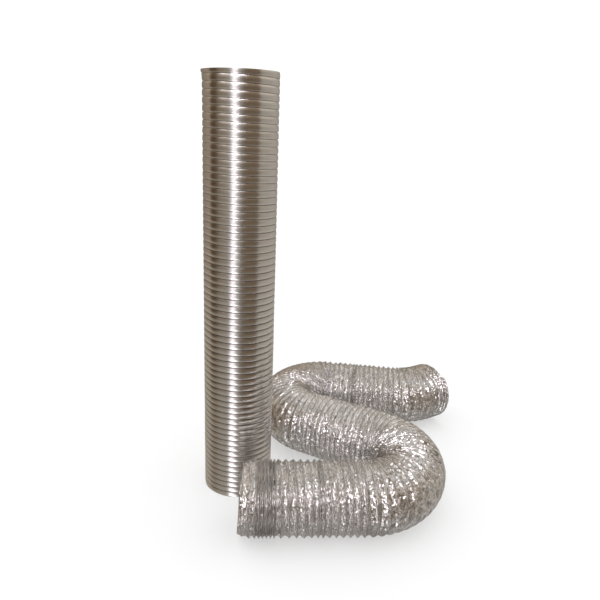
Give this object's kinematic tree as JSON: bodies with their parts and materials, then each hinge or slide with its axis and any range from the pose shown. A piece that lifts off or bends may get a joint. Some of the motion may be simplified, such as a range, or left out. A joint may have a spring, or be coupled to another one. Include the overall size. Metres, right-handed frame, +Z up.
{
  "type": "flexible air duct",
  "caption": "Corrugated aluminium duct standing upright beside a wire-wound foil duct that lies in an S; both stretch and bend.",
  "frame": {"origin": "centre of the riser's foot, on the surface that both ducts rest on", "axes": "+Z up along the riser, +X along the foil duct's front run, away from its open front end"},
  "size_m": [0.4475, 0.4669, 0.6144],
  "materials": {
    "riser_strip": "rolled corrugated strip with a satin sheen along its turns",
    "foil_jacket": "crumpled bright foil laminate",
    "foil_lining": "creased foil laminate lining",
    "spring_wire": "drawn spring-steel wire"
  },
  "bodies": {
    "middle_run": {"middle_run_inner_ply": "foil_lining", "middle_run_wire": "spring_wire", "middle_run_outer_ply": "foil_jacket"},
    "front_end": {"front_end_inner_ply": "foil_lining", "front_end_wire": "spring_wire", "front_end_outer_ply": "foil_jacket"},
    "front_run": {"front_run_inner_ply": "foil_lining", "front_run_wire": "spring_wire", "front_run_outer_ply": "foil_jacket"},
    "right_bend_1": {"right_bend_1_inner_ply": "foil_lining", "right_bend_1_wire": "spring_wire", "right_bend_1_outer_ply": "foil_jacket"},
    "right_bend_2": {"right_bend_2_inner_ply": "foil_lining", "right_bend_2_wire": "spring_wire", "right_bend_2_outer_ply": "foil_jacket"},
    "right_bend_3": {"right_bend_3_inner_ply": "foil_lining", "right_bend_3_wire": "spring_wire", "right_bend_3_outer_ply": "foil_jacket"},
    "right_bend_4": {"right_bend_4_inner_ply": "foil_lining", "right_bend_4_wire": "spring_wire", "right_bend_4_outer_ply": "foil_jacket"},
    "right_bend_5": {"right_bend_5_inner_ply": "foil_lining", "right_bend_5_wire": "spring_wire", "right_bend_5_outer_ply": "foil_jacket"},
    "left_bend_1": {"left_bend_1_inner_ply": "foil_lining", "left_bend_1_wire": "spring_wire", "left_bend_1_outer_ply": "foil_jacket"},
    "left_bend_2": {"left_bend_2_inner_ply": "foil_lining", "left_bend_2_wire": "spring_wire", "left_bend_2_outer_ply": "foil_jacket"},
    "left_bend_3": {"left_bend_3_inner_ply": "foil_lining", "left_bend_3_wire": "spring_wire", "left_bend_3_outer_ply": "foil_jacket"},
    "left_bend_4": {"left_bend_4_inner_ply": "foil_lining", "left_bend_4_wire": "spring_wire", "left_bend_4_outer_ply": "foil_jacket"},
    "left_bend_5": {"left_bend_5_inner_ply": "foil_lining", "left_bend_5_wire": "spring_wire", "left_bend_5_outer_ply": "foil_jacket"},
    "rear_run": {"rear_run_inner_ply": "foil_lining", "rear_run_wire": "spring_wire", "rear_run_outer_ply": "foil_jacket"},
    "rear_reach": {"rear_reach_inner_ply": "foil_lining", "rear_reach_wire": "spring_wire", "rear_reach_outer_ply": "foil_jacket"},
    "rear_bend": {"rear_bend_inner_ply": "foil_lining", "rear_bend_wire": "spring_wire", "rear_bend_outer_ply": "foil_jacket"},
    "rear_end": {"rear_end_inner_ply": "foil_lining", "rear_end_wire": "spring_wire", "rear_end_outer_ply": "foil_jacket"},
    "riser_foot": {"riser_foot_collar": "riser_strip", "riser_lower_wall": "riser_strip"},
    "riser_waist": {"riser_middle_wall": "riser_strip"},
    "riser_head": {"riser_upper_wall": "riser_strip", "riser_head_collar": "riser_strip"}
  },
  "joints": [
    {"name": "riser_aside", "type": "slide", "parent": "middle_run", "child": "riser_foot", "axis": [-1, 0, 0], "range_m": [0, 0.2]},
    {"name": "riser_stretch", "type": "slide", "parent": "riser_foot", "child": "riser_waist", "axis": [0, 0, 1], "range_m": [-0.16, 0], "deforming": ["riser_lower_wall"]},
    {"name": "riser_bend", "type": "hinge", "parent": "riser_waist", "child": "riser_head", "pos_m": [0.0523, 0, 0.3936], "axis": [0, -1, 0], "range_deg": [0, 70], "deforming": ["riser_middle_wall"]},
    {"name": "right_bend", "type": "hinge", "parent": "middle_run", "child": "right_bend_5", "pos_m": [0.27587, 0.04604, 0.0527], "axis": [0, 0, 1], "range_deg": [0, 24.5]},
    {"name": "right_bend_follow_1", "type": "hinge", "parent": "right_bend_5", "child": "right_bend_4", "pos_m": [0.30666, -0.00227, 0.0527], "axis": [0, 0, 1], "range_deg": [0, 24.5]},
    {"name": "right_bend_follow_2", "type": "hinge", "parent": "right_bend_4", "child": "right_bend_3", "pos_m": [0.31463, -0.05901, 0.0527], "axis": [0, 0, 1], "range_deg": [0, 24.5]},
    {"name": "right_bend_follow_3", "type": "hinge", "parent": "right_bend_3", "child": "right_bend_2", "pos_m": [0.29836, -0.11393, 0.0527], "axis": [0, 0, 1], "range_deg": [0, 24.5]},
    {"name": "right_bend_follow_4", "type": "hinge", "parent": "right_bend_2", "child": "right_bend_1", "pos_m": [0.26077, -0.15717, 0.0527], "axis": [0, 0, 1], "range_deg": [0, 24.5]},
    {"name": "right_bend_follow_5", "type": "hinge", "parent": "right_bend_1", "child": "front_run", "pos_m": [0.20864, -0.18093, 0.0527], "axis": [0, 0, 1], "range_deg": [0, 24.5]},
    {"name": "front_stretch", "type": "slide", "parent": "front_run", "child": "front_end", "axis": [-1, 0, 0], "range_m": [0, 0.13]},
    {"name": "left_bend", "type": "hinge", "parent": "middle_run", "child": "left_bend_1", "pos_m": [0.06618, 0.06362, 0.0527], "axis": [0, 0, 1], "range_deg": [0, 26.5]},
    {"name": "left_bend_follow_1", "type": "hinge", "parent": "left_bend_1", "child": "left_bend_2", "pos_m": [0.03593, 0.11497, 0.0527], "axis": [0, 0, 1], "range_deg": [0, 26.5]},
    {"name": "left_bend_follow_2", "type": "hinge", "parent": "left_bend_2", "child": "left_bend_3", "pos_m": [0.03178, 0.17441, 0.0527], "axis": [0, 0, 1], "range_deg": [0, 26.5]},
    {"name": "left_bend_follow_3", "type": "hinge", "parent": "left_bend_3", "child": "left_bend_4", "pos_m": [0.05458, 0.22947, 0.0527], "axis": [0, 0, 1], "range_deg": [0, 26.5]},
    {"name": "left_bend_follow_4", "type": "hinge", "parent": "left_bend_4", "child": "left_bend_5", "pos_m": [0.09956, 0.26857, 0.0527], "axis": [0, 0, 1], "range_deg": [0, 26.5]},
    {"name": "left_bend_follow_5", "type": "hinge", "parent": "left_bend_5", "child": "rear_run", "pos_m": [0.15725, 0.28349, 0.0527], "axis": [0, 0, 1], "range_deg": [0, 26.5]},
    {"name": "rear_stretch", "type": "slide", "parent": "rear_run", "child": "rear_reach", "axis": [0.9781, -0.2079, 0], "range_m": [0, 0.11]},
    {"name": "rear_bend", "type": "hinge", "parent": "rear_reach", "child": "rear_bend", "pos_m": [0.3034, 0.14975, 0.0527], "axis": [0, 0, -1], "range_deg": [0, 21]},
    {"name": "rear_bend_follow_1", "type": "hinge", "parent": "rear_bend", "child": "rear_end", "pos_m": [0.34875, 0.15693, 0.0527], "axis": [0, 0, -1], "range_deg": [0, 21]}
  ],
  "couplings": [
    {"joint": "right_bend_follow_1", "follows": "right_bend", "ratio": 1},
    {"joint": "right_bend_follow_2", "follows": "right_bend", "ratio": 1},
    {"joint": "right_bend_follow_3", "follows": "right_bend", "ratio": 1},
    {"joint": "right_bend_follow_4", "follows": "right_bend", "ratio": 1},
    {"joint": "right_bend_follow_5", "follows": "right_bend", "ratio": 1},
    {"joint": "left_bend_follow_1", "follows": "left_bend", "ratio": 1},
    {"joint": "left_bend_follow_2", "follows": "left_bend", "ratio": 1},
    {"joint": "left_bend_follow_3", "follows": "left_bend", "ratio": 1},
    {"joint": "left_bend_follow_4", "follows": "left_bend", "ratio": 1},
    {"joint": "left_bend_follow_5", "follows": "left_bend", "ratio": 1},
    {"joint": "rear_bend_follow_1", "follows": "rear_bend", "ratio": 1}
  ]
}
